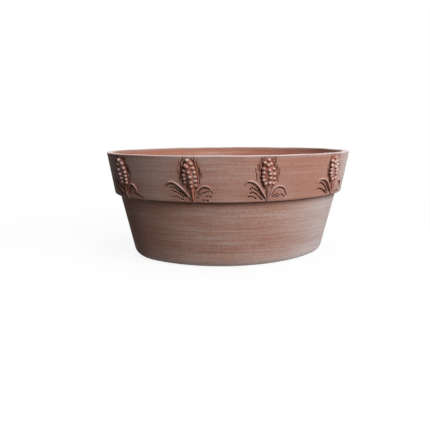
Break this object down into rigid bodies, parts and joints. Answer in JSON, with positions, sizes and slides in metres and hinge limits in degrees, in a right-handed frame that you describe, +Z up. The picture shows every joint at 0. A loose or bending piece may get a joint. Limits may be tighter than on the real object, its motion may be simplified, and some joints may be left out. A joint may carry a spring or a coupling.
{
  "type": "oval planter",
  "caption": "Oval terracotta planter with a flaring wall, a thick rim band carrying ears of corn in relief, a rounded lip and a drained floor.",
  "frame": {"origin": "middle of the underside, on the ground", "axes": "+X along the length to the right as seen from the front, +Z up, the front faces -Y"},
  "size_m": [0.6064, 0.4472, 0.256],
  "materials": {
    "wall_clay": "unglazed, wiped in level streaks with a pale bloom",
    "band_clay": "unglazed, smoothed, with a pale bloom",
    "relief_clay": "unglazed, redder in the hollows",
    "floor_clay": "unglazed, rough"
  },
  "bodies": {
    "root": {"floor_slab": "floor_clay", "wall_front_left": "wall_clay", "wall_front_right": "wall_clay", "wall_right": "wall_clay", "wall_back_right": "wall_clay", "wall_back_left": "wall_clay", "wall_left": "wall_clay", "band_front_left": "band_clay", "band_front_right": "band_clay", "band_right": "band_clay", "band_back_right": "band_clay", "band_back_left": "band_clay", "band_left": "band_clay", "lip_front_left": "band_clay", "lip_front_right": "band_clay", "lip_right": "band_clay", "lip_back_right": "band_clay", "lip_back_left": "band_clay", "lip_left": "band_clay", "cob_1": "relief_clay", "cob_2": "relief_clay", "cob_3": "relief_clay", "cob_4": "relief_clay", "cob_5": "relief_clay", "cob_6": "relief_clay", "cob_7": "relief_clay", "cob_8": "relief_clay", "cob_9": "relief_clay", "kernels_1": "relief_clay", "kernels_2": "relief_clay", "kernels_3": "relief_clay", "kernels_4": "relief_clay", "kernels_5": "relief_clay", "kernels_6": "relief_clay", "kernels_7": "relief_clay", "kernels_8": "relief_clay", "kernels_9": "relief_clay", "stalk_1": "relief_clay", "stalk_2": "relief_clay", "stalk_3": "relief_clay", "stalk_4": "relief_clay", "stalk_5": "relief_clay", "stalk_6": "relief_clay", "stalk_7": "relief_clay", "stalk_8": "relief_clay", "stalk_9": "relief_clay", "leaves_1": "relief_clay", "leaves_2": "relief_clay", "leaves_3": "relief_clay", "leaves_4": "relief_clay", "leaves_5": "relief_clay", "leaves_6": "relief_clay", "leaves_7": "relief_clay", "leaves_8": "relief_clay", "leaves_9": "relief_clay"}
  },
  "joints": []
}
